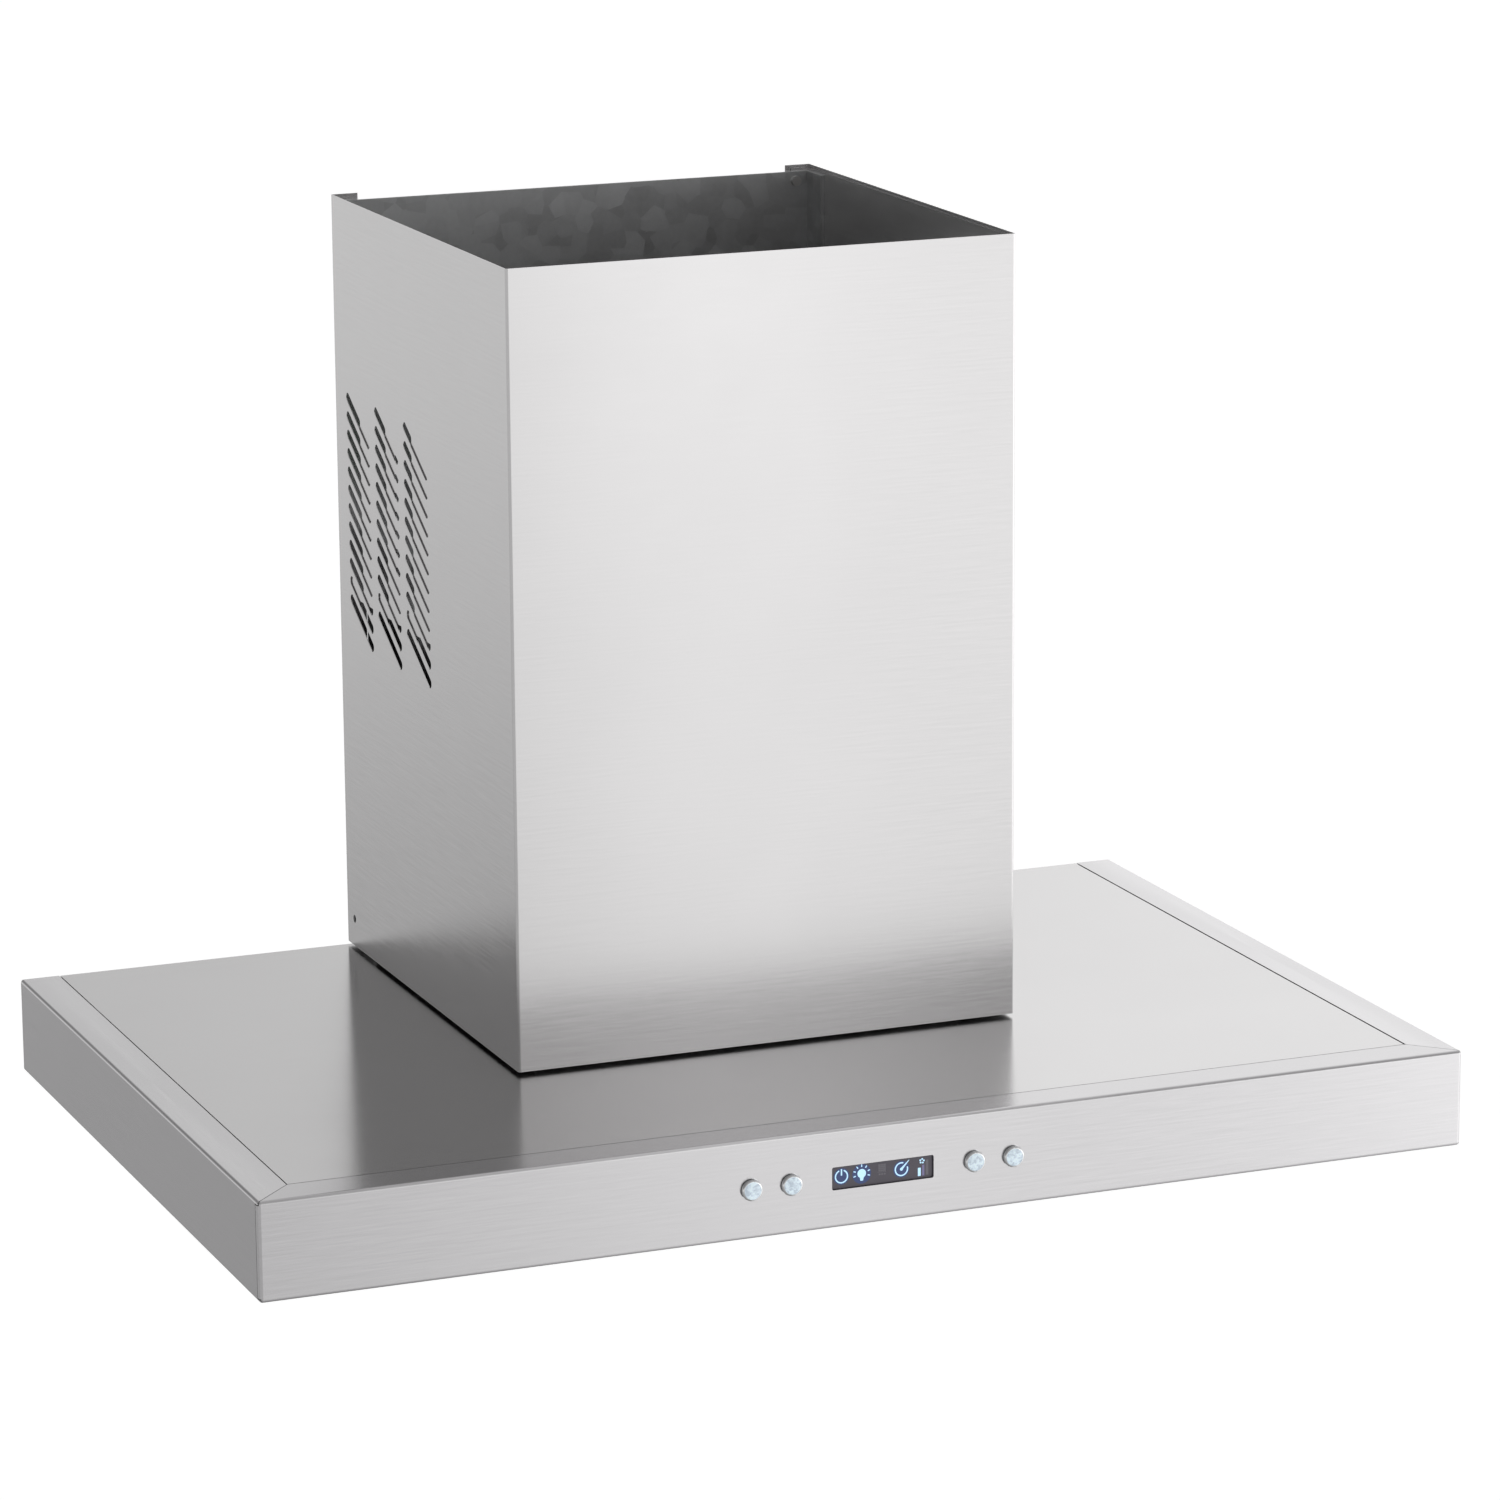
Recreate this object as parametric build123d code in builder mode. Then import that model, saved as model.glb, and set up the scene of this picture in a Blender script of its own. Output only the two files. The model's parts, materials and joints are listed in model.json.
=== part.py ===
from build123d import *
import math
import os

# A 30 inch wall-mounted chimney range hood, in millimetres.
# The wall is the plane y = 0 and the hood stands out from it towards -y. X runs to the
# right as a cook sees it, x = 0 is the hood's middle, and z = 0 is the canopy's bottom rim.

os.makedirs("parts", exist_ok=True)

# ---------------------------------------------------------------- driving dimensions
WIDTH = 762.0  # canopy, left to right
DEPTH = 500.0  # canopy, wall to front face
CANOPY_H = 60.0  # canopy, bottom rim to top flange
SHEET = 1.0  # stainless sheet of the canopy
COVER_SHEET = 0.5  # thinner sheet of the chimney covers
BEND = 2.0  # outside radius of every bend in that sheet
FLANGE = 25.0  # width of the mitred top flanges
RETURN = 18.0  # width of the bottom return flanges
SEAM = 0.6  # open joint where the fascias meet at the front corners
PANEL_GAP = 0.9  # open joint along each side of the top panel
PANEL_DROP = 0.2  # how far the top panel lies below the flanges
PANEL_FRONT_GAP = 1.2  # open joint along its front
HEM = 4.0  # depth of the stiffening hems under its sides
TONGUE = 15.0  # how far it reaches in under the front flange
WRAP = 4.0  # how far the front fascia wraps round the canopy's front corners

CHIMNEY_W = 325.0  # lower chimney cover, outside
CHIMNEY_D = 325.0
CHIMNEY_FOOT = 62.0  # its bottom edge stands just clear of the top panel
CHIMNEY_TOP = 548.0
COVER_BEND = 1.6  # outside radius of the covers' front corners
LOWER_FLANGE, UPPER_FLANGE = 17.2, 12.5  # the covers' rear flanges
COVER_SCREW = (-14.0, 80.0)  # the screw hole low on each side, as y and z
COVER_SCREW_R = 2.6
SLIDE_GAP = 0.3  # between the lower cover and the upper cover inside it
UPPER_FOOT = 294.0  # bottom edge of the upper cover when it is pushed down
UPPER_TOP = 546.0

SLOT_ROWS, SLOT_COLUMNS = 12, 3
SLOT_PITCH = 11.8  # from one slot down to the next
SLOT_W = 6.2
SLOT_FALL = 31.0  # degrees that each slot falls towards the front
LOWER_SLOTS = {"first": (-21.5, 424.0), "step": (-55.5, 0.0), "run": 44.0, "rows": SLOT_ROWS}
UPPER_SLOTS = {"first": (-11.0, 428.3), "step": (-50.0, 3.3), "run": 34.0, "rows": SLOT_ROWS - 2}

CONTROL_Z = 30.0  # height of the buttons and the display
BUTTON_X = {"power": -83.0, "light": -58.0, "timer": 58.0, "speed": 83.0}
BUTTON_R = 6.3
BUTTON_GAP = 0.3  # round a button, in its hole
BUTTON_STAND = 3.0  # how far a button stands out of the fascia
BUTTON_TRAVEL = 1.5
BUTTON_FACE_R = 5.3
STEM_R = 2.5
WINDOW_W, WINDOW_H = 64.5, 14.0
WINDOW_SET = 1.5  # how far the window lies behind the fascia's face
BOARD_HALF = 104.0
BOARD_Y = -479.0  # front face of the control board
BOARD_T = 1.6

FILTER_W, FILTER_D, FILTER_T = 318.0, 330.0, 12.0
FILTER_X = 168.0  # middle of each filter, left and right of the centre line
FILTER_REAR = -40.0
FILTER_Z = 1.5  # underside of the filters
FILTER_GAP = 1.0  # all round, in its opening
FILTER_RIM = 16.0
BAFFLES = 12
BAFFLE_W, BAFFLE_H, BAFFLE_T = 17.0, 4.0, 0.8
LATCH_W, LATCH_TRAVEL = 46.0, 3.5

LAMP_X, LAMP_Y = 240.0, -430.0
LAMP_R = 33.0

BOX_HALF = 140.0  # motor box, half its width
BOX_FRONT = -290.0
BOX_TOP = 326.0
PLATE_T = 3.0  # wall plate
PLATE_HALF = 145.0
PLATE_TOP = 445.0
HANG_X, HANG_Z, HANG_R = 110.0, 420.0, 4.0  # the two holes that the hood hangs by
SHAFT_Y, SHAFT_Z = -185.0, 178.0  # the blower's axis, along x
WHEEL_R, WHEEL_HALF = 80.0, 56.0
BLADES = 36
SCROLL_HALF = 65.0
SCROLL_START = 50.0  # degrees from +y, where the scroll's tongue is
SCROLL_R0, SCROLL_GROWTH = 86.0, 33.0
SCROLL_TOP = 272.0
INLET_R = 68.0
SHAFT_R = 4.0
MOTOR_R = 42.0
MOTOR_X = (-70.0, -8.0)
RUNNING = 0.05  # radial clearance of a running fit

OUTLET_Y = -98.0
OUTLET_R = 75.0  # outside of the duct collar
OUTLET_WALL = 1.5
OUTLET_TOP = 376.0
FLAP_Z = 344.0
FLAP_PIN_Y = 4.5  # each flap's axis, in front of and behind the collar's middle
FLAP_PIN_R = 1.5
FLAP_R = 72.6

JUNCTION = {"x": (20.0, 110.0), "y": (-282.0, -192.0), "height": 40.0}

# ---------------------------------------------------------------- derived dimensions
FRONT = -DEPTH
HALF = WIDTH / 2
INNER_FRONT = FRONT + SHEET
PANEL_TOP = CANOPY_H - PANEL_DROP
PANEL_BOTTOM = PANEL_TOP - SHEET
DECK_TOP = 2 * SHEET
COVER_HALF = CHIMNEY_W / 2
UPPER_HALF = COVER_HALF - COVER_SHEET - SLIDE_GAP
UPPER_D = CHIMNEY_D - COVER_SHEET - SLIDE_GAP
UPPER_REAR = -COVER_SHEET - SLIDE_GAP
BOX_REAR = -PLATE_T
SIDES = {"left": -1, "right": 1}


def save(builder, name):
    """Labels a finished piece and writes it as parts/NAME.step."""
    builder.part.label = name
    export_step(builder.part, f"parts/{name}.step")


def block(x, y, z, mode=Mode.ADD):
    """A box with the given (low, high) extents, in the part under construction."""
    with Locations((sum(x) / 2, sum(y) / 2, sum(z) / 2)):
        Box(x[1] - x[0], y[1] - y[0], z[1] - z[0], mode=mode)


def disc(centre, radius, z, mode=Mode.ADD):
    """An upright cylinder between two heights."""
    with Locations((centre[0], centre[1], sum(z) / 2)):
        Cylinder(radius, z[1] - z[0], mode=mode)


def across(x, y=SHAFT_Y, z=SHAFT_Z):
    """A plane square to the x axis whose own x and y are the hood's y and z."""
    return Plane(origin=(x, y, z), x_dir=(0, 1, 0), z_dir=(1, 0, 0))


def front_plane(y):
    """A plane square to the y axis; extruding from it goes towards the cook."""
    return Plane.XZ.offset(-y)


def save_mirrored(builder, name):
    """Writes a piece's mirror image, left for right."""
    with BuildPart() as other:
        mirror(builder.part, about=Plane.YZ)
    save(other, name)


# ---------------------------------------------------------------- canopy skin
def canopy_bends(builder):
    """The bent edges of the canopy box: front uprights, and front and side rims."""
    edges = builder.part.edges()
    uprights = edges.filter_by(Axis.Z).group_by(Axis.Y)[0]
    rims = edges.filter_by(Axis.X).group_by(Axis.Y)[0] + edges.filter_by(Axis.Y)
    return uprights + rims


def front_wedge(reach, z):
    """The stretch of a flange that belongs to the front sheet, mitred at 45 degrees."""
    with BuildPart() as wedge:
        with BuildSketch(Plane.XY.offset(z[0])):
            with BuildLine():
                Polyline(
                    (-HALF - 1 + SEAM, FRONT - 1),
                    (HALF + 1 - SEAM, FRONT - 1),
                    (HALF - reach - 1 - SEAM, FRONT + reach + 1),
                    (-HALF + reach + 1 + SEAM, FRONT + reach + 1),
                    close=True,
                )
            make_face()
        extrude(amount=z[1] - z[0])
    return wedge.part


with BuildPart() as canopy_core:
    block((-HALF + SHEET, HALF - SHEET), (INNER_FRONT, 1), (SHEET, CANOPY_H - SHEET))
    fillet(canopy_bends(canopy_core), BEND - SHEET)

with BuildPart() as canopy_shell:
    block((-HALF, HALF), (FRONT, 0), (0, CANOPY_H))
    fillet(canopy_bends(canopy_shell), BEND)
    add(canopy_core.part, mode=Mode.SUBTRACT)
    lip = (-HALF + FLANGE, HALF - FLANGE)
    block(lip, (FRONT + FLANGE, 1), (CANOPY_H - 2 * SHEET, CANOPY_H + 1), Mode.SUBTRACT)
    rim = (-HALF + RETURN, HALF - RETURN)
    block(rim, (FRONT + RETURN, 1), (-1, 2 * SHEET), Mode.SUBTRACT)

WALL_Z = (2.5 * SHEET, CANOPY_H - 2.5 * SHEET)  # heights between the two flanges' bends

with BuildPart() as front_zone:
    block((-HALF - 1, HALF + 1), (FRONT - 1, FRONT + WRAP), WALL_Z)
    add(front_wedge(RETURN, (-1, WALL_Z[0])))
    add(front_wedge(FLANGE, (WALL_Z[1], CANOPY_H + 1)))

with BuildPart() as seam_zone:
    block((-HALF - 1, HALF + 1), (FRONT - 1, FRONT + WRAP + SEAM), (WALL_Z[0] - SEAM, WALL_Z[1] + SEAM))
    with BuildSketch(Plane.XY.offset(-1)):
        with BuildLine():
            Polyline(
                (-HALF - 1, FRONT - 1),
                (-HALF + FLANGE + 1, FRONT + FLANGE + 1),
                (HALF - FLANGE - 1, FRONT + FLANGE + 1),
                (HALF + 1, FRONT - 1),
                close=True,
            )
        make_face()
    extrude(amount=CANOPY_H + 2)

with BuildPart() as front_fascia:
    add(canopy_shell.part)
    add(front_zone.part, mode=Mode.INTERSECT)
    with BuildSketch(front_plane(FRONT + 2 * SHEET)):
        with Locations(*[(x, CONTROL_Z) for x in BUTTON_X.values()]):
            Circle(BUTTON_R + BUTTON_GAP)
        with Locations((0, CONTROL_Z)):
            RectangleRounded(WINDOW_W, WINDOW_H, 1.2)
    extrude(amount=4 * SHEET, mode=Mode.SUBTRACT)
save(front_fascia, "front_fascia")

with BuildPart() as left_fascia:
    add(canopy_shell.part)
    add(seam_zone.part, mode=Mode.SUBTRACT)
    block((0, HALF + 1), (FRONT - 1, 1), (-1, CANOPY_H + 1), Mode.SUBTRACT)
save(left_fascia, "left_fascia")
save_mirrored(left_fascia, "right_fascia")

# ---------------------------------------------------------------- canopy panels
PANEL_HALF = HALF - SHEET - 1.5  # clears the bends inside the fascias
INTAKE = {"x": (-130.0, 130.0), "y": (-280.0, -20.0)}  # opening under the motor box
BOX_SCREWS = [(sx * 146.0, y) for sx in (-1, 1) for y in (-270.0, -150.0, -30.0)]
BOX_SCREW_R = 2.0
DECK_SCREWS = [(x, y) for x in (-372.0, 372.0) for y in (-380.0, -250.0, -120.0)]
DECK_SCREWS += [(x, FRONT + RETURN / 2) for x in (-250.0, 0.0, 250.0)]

with BuildPart() as top_panel:
    edge, front_edge = HALF - FLANGE - PANEL_GAP, FRONT + FLANGE + PANEL_FRONT_GAP
    block((-edge, edge), (front_edge, 0), (PANEL_BOTTOM, PANEL_TOP))
    tongue_z = (CANOPY_H - 2 * SHEET - 0.1, CANOPY_H - SHEET - 0.1)
    block((-edge, edge), (front_edge - TONGUE, front_edge + 2), tongue_z)
    for sx in SIDES.values():
        hem_x = sorted((sx * (edge - SHEET), sx * edge))
        block(hem_x, (front_edge, -2 * SHEET), (PANEL_BOTTOM - HEM, PANEL_BOTTOM))
    block(INTAKE["x"], INTAKE["y"], (PANEL_BOTTOM - 1, PANEL_TOP + 1), Mode.SUBTRACT)
    for spot in BOX_SCREWS:
        disc(spot, BOX_SCREW_R + 0.1, (PANEL_BOTTOM - 1, PANEL_TOP + 1), Mode.SUBTRACT)
save(top_panel, "top_panel")

REAR_SCREW_X, REAR_SCREW_Z, REAR_SCREW_R = 300.0, 35.0, 3.0

with BuildPart() as rear_panel:
    block((-PANEL_HALF, PANEL_HALF), (-SHEET, 0), (SHEET, PANEL_BOTTOM))
    block((-PANEL_HALF + 30, PANEL_HALF - 30), (-12, -SHEET), (PANEL_BOTTOM - SHEET, PANEL_BOTTOM))
    with BuildSketch(front_plane(0)):
        with Locations((-REAR_SCREW_X, REAR_SCREW_Z), (REAR_SCREW_X, REAR_SCREW_Z)):
            Circle(REAR_SCREW_R)
    extrude(amount=2 * SHEET, mode=Mode.SUBTRACT)
save(rear_panel, "rear_panel")

FILTER_FRONT = FILTER_REAR - FILTER_D

with BuildPart() as underside_panel:
    block((-PANEL_HALF, PANEL_HALF), (INNER_FRONT + 1.5, -SHEET), (SHEET, DECK_TOP))
    for sx in SIDES.values():
        reach = FILTER_W / 2 + FILTER_GAP
        opening_x = (sx * FILTER_X - reach, sx * FILTER_X + reach)
        opening_y = (FILTER_FRONT - FILTER_GAP, FILTER_REAR + FILTER_GAP)
        block(opening_x, opening_y, (0, 2 * DECK_TOP), Mode.SUBTRACT)
        disc((sx * LAMP_X, LAMP_Y), LAMP_R + 0.2, (0, 2 * DECK_TOP), Mode.SUBTRACT)
    for spot in DECK_SCREWS:
        disc(spot, 2.1, (0, 2 * DECK_TOP), Mode.SUBTRACT)
save(underside_panel, "underside_panel")

with BuildPart() as deck_screws:
    for spot in DECK_SCREWS:
        disc(spot, 2.0, (SHEET, 9))
        disc(spot, 3.8, (DECK_TOP, DECK_TOP + 2.2))
save(deck_screws, "deck_screws")

# ---------------------------------------------------------------- baffle filters
LATCH_Y = (FILTER_FRONT + 1, FILTER_FRONT + 17.5)
LATCH_Z = (FILTER_Z + 0.5, FILTER_Z + 8.5)
POCKET_Y = (FILTER_FRONT - 1, LATCH_Y[1] + LATCH_TRAVEL + 0.5)


def baffle_profile(opening):
    """One channel-shaped slat seen end on, open upwards (+1) or downwards (-1)."""
    half, wall = BAFFLE_W / 2, BAFFLE_T
    with BuildSketch() as profile:
        with BuildLine():
            Polyline(
                (-half, opening * BAFFLE_H),
                (-half, 0),
                (half, 0),
                (half, opening * BAFFLE_H),
                (half - wall, opening * BAFFLE_H),
                (half - wall, opening * wall),
                (-half + wall, opening * wall),
                (-half + wall, opening * BAFFLE_H),
                close=True,
            )
        make_face()
    return profile.sketch


def make_filter(side, sx):
    """One removable filter: its rim, its slats and its sprung latch."""
    middle, half = sx * FILTER_X, FILTER_W / 2
    inner = half - FILTER_RIM
    slat_y = (FILTER_FRONT + FILTER_RIM + 8, FILTER_REAR - FILTER_RIM)
    with BuildPart() as rim_frame:
        block((middle - half, middle + half), (FILTER_FRONT, FILTER_REAR), (FILTER_Z, FILTER_Z + FILTER_T))
        fillet(rim_frame.part.edges().filter_by(Axis.Z), 4)
        block((middle - inner, middle + inner), slat_y, (0, 2 * FILTER_T), Mode.SUBTRACT)
        pocket = LATCH_W / 2 + 0.5
        block((middle - pocket, middle + pocket), POCKET_Y, (0, LATCH_Z[1] + 0.5), Mode.SUBTRACT)
        for offset in (-100.0, 100.0):
            tongue = (middle + offset - 12, middle + offset + 12)
            block(tongue, (FILTER_REAR - 2, FILTER_REAR + 6), (DECK_TOP + 0.3, DECK_TOP + 1.8))
    save(rim_frame, f"filter_{side}_frame")

    pitch = 2 * inner / BAFFLES
    with BuildPart() as baffles:
        with BuildSketch(front_plane(slat_y[1])):
            lower_x = [middle - inner + (slat + 0.5) * pitch for slat in range(BAFFLES)]
            with Locations(*[(x, FILTER_Z + 0.6) for x in lower_x]):
                add(baffle_profile(1))
            with Locations(*[(x - pitch / 2, FILTER_Z + FILTER_T - 0.8) for x in lower_x[1:]]):
                add(baffle_profile(-1))
        extrude(amount=slat_y[1] - slat_y[0])
    save(baffles, f"filter_{side}_baffles")

    with BuildPart() as latch:
        block((middle - LATCH_W / 2, middle + LATCH_W / 2), LATCH_Y, LATCH_Z)
        fillet(latch.part.edges().filter_by(Axis.Z), 2)
        pull_x = (middle - LATCH_W / 2 + 5, middle + LATCH_W / 2 - 5)
        block(pull_x, (LATCH_Y[0] + 4, LATCH_Y[1] - 3), (0, LATCH_Z[1] - 2), Mode.SUBTRACT)
        block((middle - 8, middle + 8), (FILTER_FRONT - 0.7, LATCH_Y[0] + 1), (DECK_TOP + 0.6, DECK_TOP + 3))
    save(latch, f"filter_{side}_latch")


for side, sx in SIDES.items():
    make_filter(side, sx)

# ---------------------------------------------------------------- lamps
with BuildPart() as lamp_bezels:
    for sx in SIDES.values():
        disc((sx * LAMP_X, LAMP_Y), LAMP_R + 4, (0.2, SHEET))
        disc((sx * LAMP_X, LAMP_Y), LAMP_R, (SHEET, 14))
        disc((sx * LAMP_X, LAMP_Y), LAMP_R - 2, (0, 15), Mode.SUBTRACT)
save(lamp_bezels, "lamp_bezels")

with BuildPart() as lamp_lenses:
    for sx in SIDES.values():
        disc((sx * LAMP_X, LAMP_Y), LAMP_R - 2.1, (0.6, 2.6))
save(lamp_lenses, "lamp_lenses")

with BuildPart() as lamp_housings:
    for sx in SIDES.values():
        disc((sx * LAMP_X, LAMP_Y), LAMP_R - 2.1, (11, 15))
        disc((sx * LAMP_X, LAMP_Y), LAMP_R + 1, (14, 26))
        disc((sx * LAMP_X, LAMP_Y), 10, (26, 36))
        for fin in range(6):
            disc((sx * LAMP_X, LAMP_Y), LAMP_R + 4, (15 + 1.8 * fin, 15.8 + 1.8 * fin))
save(lamp_housings, "lamp_housings")

# ---------------------------------------------------------------- front controls
GUIDE_BACK = (-491.0, -489.5)
BRACKET_Y = BOARD_Y + BOARD_T
FLANGE_R = BUTTON_R + 0.9

with BuildPart() as control_bracket:
    block((-BOARD_HALF - 4, BOARD_HALF + 4), (BRACKET_Y, BRACKET_Y + SHEET), (12, 50))
    for z in ((12, 13), (49, 50)):
        block((-BOARD_HALF - 4, BOARD_HALF + 4), (INNER_FRONT, BRACKET_Y), z)
save(control_bracket, "control_bracket")

with BuildPart() as control_board:
    block((-BOARD_HALF, BOARD_HALF), (BOARD_Y, BRACKET_Y), (14, 48))
    for x in (-28.0, -8.0, 20.0):
        block((x, x + 10), (BOARD_Y - 1.5, BOARD_Y), (42, 47))
save(control_board, "control_board")

with BuildPart() as tact_switches:
    for x in BUTTON_X.values():
        block((x - 3, x + 3), (BOARD_Y - 3.8, BOARD_Y), (CONTROL_Z - 3, CONTROL_Z + 3))
    with BuildSketch(front_plane(BOARD_Y - 3.8)):
        with Locations(*[(x, CONTROL_Z) for x in BUTTON_X.values()]):
            Circle(1.7)
    extrude(amount=1.9)
save(tact_switches, "tact_switches")

with BuildPart() as display_module:
    block((-WINDOW_W / 2 - 4, WINDOW_W / 2 + 4), (INNER_FRONT, BOARD_Y), (CONTROL_Z - 11, CONTROL_Z + 11))
    with BuildSketch(front_plane(FRONT + WINDOW_SET + 1.5)):
        with Locations((0, CONTROL_Z)):
            RectangleRounded(WINDOW_W, WINDOW_H, 1.2)
    extrude(amount=WINDOW_SET + 1, mode=Mode.SUBTRACT)
save(display_module, "display_module")

with BuildPart() as display_window:
    with BuildSketch(front_plane(FRONT + WINDOW_SET + 1.5)):
        with Locations((0, CONTROL_Z)):
            RectangleRounded(WINDOW_W - 0.1, WINDOW_H - 0.1, 1.15)
    extrude(amount=1.5)
save(display_window, "display_window")

with BuildPart() as button_guides:
    for x in BUTTON_X.values():
        with BuildSketch(front_plane(GUIDE_BACK[1])):
            with Locations((x, CONTROL_Z)):
                Circle(FLANGE_R + 2)
        extrude(amount=GUIDE_BACK[1] - INNER_FRONT)
        with BuildSketch(front_plane(GUIDE_BACK[0])):
            with Locations((x, CONTROL_Z)):
                Circle(FLANGE_R + 0.4)
        extrude(amount=GUIDE_BACK[0] - INNER_FRONT, mode=Mode.SUBTRACT)
        with BuildSketch(front_plane(GUIDE_BACK[1])):
            with Locations((x, CONTROL_Z)):
                Circle(STEM_R + RUNNING)
        extrude(amount=2, mode=Mode.SUBTRACT)
save(button_guides, "button_guides")


def make_button(name, x):
    """A sprung push button: a chrome cap on a stem, with a lit lens let into its face."""
    tip, seat = FRONT - BUTTON_STAND, FRONT - BUTTON_STAND + 1.6
    stop, stem_end = INNER_FRONT + 0.3, BOARD_Y - 5.7 - BUTTON_TRAVEL - 0.3
    lens_r = BUTTON_FACE_R - 0.05
    centre = Axis((x, 0, CONTROL_Z), (0, 1, 0))
    with BuildPart() as cap:
        with BuildSketch(across(x, 0, CONTROL_Z)):
            with BuildLine():
                RadiusArc((tip, BUTTON_FACE_R), (tip + 1.0, BUTTON_R), 1.05)
                Polyline(
                    (tip + 1.0, BUTTON_R),
                    (stop, BUTTON_R),
                    (stop, FLANGE_R),
                    (stop + 1, FLANGE_R),
                    (stop + 1, STEM_R),
                    (stem_end, STEM_R),
                    (stem_end, 0),
                    (seat, 0),
                    (seat, BUTTON_FACE_R),
                    (tip, BUTTON_FACE_R),
                )
            make_face()
        revolve(axis=centre)
    save(cap, f"{name}_button")
    with BuildPart() as lens:
        with BuildSketch(across(x, 0, CONTROL_Z)):
            with BuildLine():
                Polyline((tip - 0.5, 0), (seat, 0), (seat, lens_r), (tip + 0.1, lens_r))
                TangentArc((tip - 0.5, 0), (tip + 0.1, lens_r), tangent=(0, 1))
            make_face()
        revolve(axis=centre)
    save(lens, f"{name}_button_lens")


for name, x in BUTTON_X.items():
    make_button(name, x)

# ---------------------------------------------------------------- chimney covers
def slot_cuts(slots, half):
    """All slanted slots of one cover, as bars that cross it from side to side."""
    fall = math.radians(SLOT_FALL)
    length = slots["run"] / math.cos(fall) - SLOT_W
    rise = slots["run"] * math.tan(fall)
    with BuildPart() as bars:
        with BuildSketch(Plane.YZ.offset(-half - 1)):
            for column in range(SLOT_COLUMNS):
                y = slots["first"][0] + column * slots["step"][0] - slots["run"] / 2
                z = slots["first"][1] + column * slots["step"][1] - rise / 2
                rows = [(y, z - row * SLOT_PITCH) for row in range(slots["rows"])]
                with Locations(*rows):
                    SlotCenterToCenter(length, SLOT_W, rotation=SLOT_FALL)
        extrude(amount=2 * half + 2)
    return bars.part


def make_cover(half, depth, rear, flange, z, slots):
    """A three-sided sheet cover, bent round the front corners, with rear flanges."""
    with BuildPart() as cover:
        block((-half, half), (-depth, rear), z)
        fillet(cover.part.edges().filter_by(Axis.Z).group_by(Axis.Y)[0], COVER_BEND)
        with BuildSketch(Plane.XY.offset(z[0] - 1)):
            with Locations((0, (rear - depth) / 2)):
                Rectangle(2 * half - 2 * COVER_SHEET, depth + rear - 2 * COVER_SHEET)
        extrude(amount=z[1] - z[0] + 2, mode=Mode.SUBTRACT)
        reach = half - flange
        block((-reach, reach), (rear - 2, rear + 1), (z[0] - 1, z[1] + 1), Mode.SUBTRACT)
        add(slot_cuts(slots, half), mode=Mode.SUBTRACT)
    return cover.part


with BuildPart() as lower_cover:
    add(make_cover(COVER_HALF, CHIMNEY_D, 0, LOWER_FLANGE, (CHIMNEY_FOOT, CHIMNEY_TOP), LOWER_SLOTS))
    with BuildSketch(Plane.YZ.offset(-COVER_HALF - 1)):
        with Locations(COVER_SCREW):
            Circle(COVER_SCREW_R)
    extrude(amount=CHIMNEY_W + 2, mode=Mode.SUBTRACT)
save(lower_cover, "lower_cover")

with BuildPart() as upper_cover:
    add(make_cover(UPPER_HALF, UPPER_D, UPPER_REAR, UPPER_FLANGE, (UPPER_FOOT, UPPER_TOP), UPPER_SLOTS))
save(upper_cover, "upper_cover")

with BuildPart() as cover_brackets:
    y = (COVER_SCREW[0] - 9, COVER_SCREW[0] + 9)
    for sx in SIDES.values():
        inner, outer = BOX_HALF, COVER_HALF - COVER_SHEET
        block(sorted((sx * inner, sx * outer)), y, (COVER_SCREW[1] - 11, COVER_SCREW[1] - 9))
        block(sorted((sx * (outer - 2), sx * outer)), y, (COVER_SCREW[1] - 11, COVER_SCREW[1] + 11))
    with BuildSketch(Plane.YZ.offset(-COVER_HALF)):
        with Locations(COVER_SCREW):
            Circle(COVER_SCREW_R - 0.5)
    extrude(amount=CHIMNEY_W, mode=Mode.SUBTRACT)
save(cover_brackets, "cover_brackets")

BRACKET_Z = (474.0, 544.0)
BRACKET_REAR = UPPER_REAR - COVER_SHEET
BRACKET_HOLE_X, BRACKET_HOLE_Z, BRACKET_HOLE_R = 60.0, 482.0, 3.0
BRACKET_SCREW_X = UPPER_HALF - 8

with BuildPart() as upper_bracket:
    inner = UPPER_HALF - COVER_SHEET
    block((-inner, inner), (BRACKET_REAR - 2, BRACKET_REAR), BRACKET_Z)
    for sx in SIDES.values():
        block(sorted((sx * (inner - 2), sx * inner)), (BRACKET_REAR - 26, BRACKET_REAR - 2), BRACKET_Z)
    with BuildSketch(front_plane(BRACKET_REAR)):
        with Locations(*[(sx * BRACKET_HOLE_X, BRACKET_HOLE_Z) for sx in SIDES.values()]):
            Circle(BRACKET_HOLE_R)
    extrude(amount=3, mode=Mode.SUBTRACT)
save(upper_bracket, "upper_bracket")

with BuildPart() as bracket_screws:
    for z in (BRACKET_Z[0] + 6, BRACKET_Z[1] - 6):
        with BuildSketch(front_plane(BRACKET_REAR - 2)):
            with Locations(*[(sx * (BRACKET_SCREW_X - 2), z) for sx in SIDES.values()]):
                Circle(3.2)
        extrude(amount=2)
save(bracket_screws, "bracket_screws")

# ---------------------------------------------------------------- motor box
with BuildPart() as wall_plate:
    block((-PLATE_HALF, PLATE_HALF), (-PLATE_T, 0), (PANEL_TOP, PLATE_TOP))
    with BuildSketch(front_plane(0)):
        with Locations(*[(sx * HANG_X, HANG_Z) for sx in SIDES.values()]):
            Circle(HANG_R)
    extrude(amount=2 * PLATE_T, mode=Mode.SUBTRACT)
save(wall_plate, "wall_plate")

BOX_FLANGE = 12.0
JUNCTION_CABLE = (JUNCTION["x"][1] - 10, -260.0)  # where the control cable enters it
CABLE_R = 3.0

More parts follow.
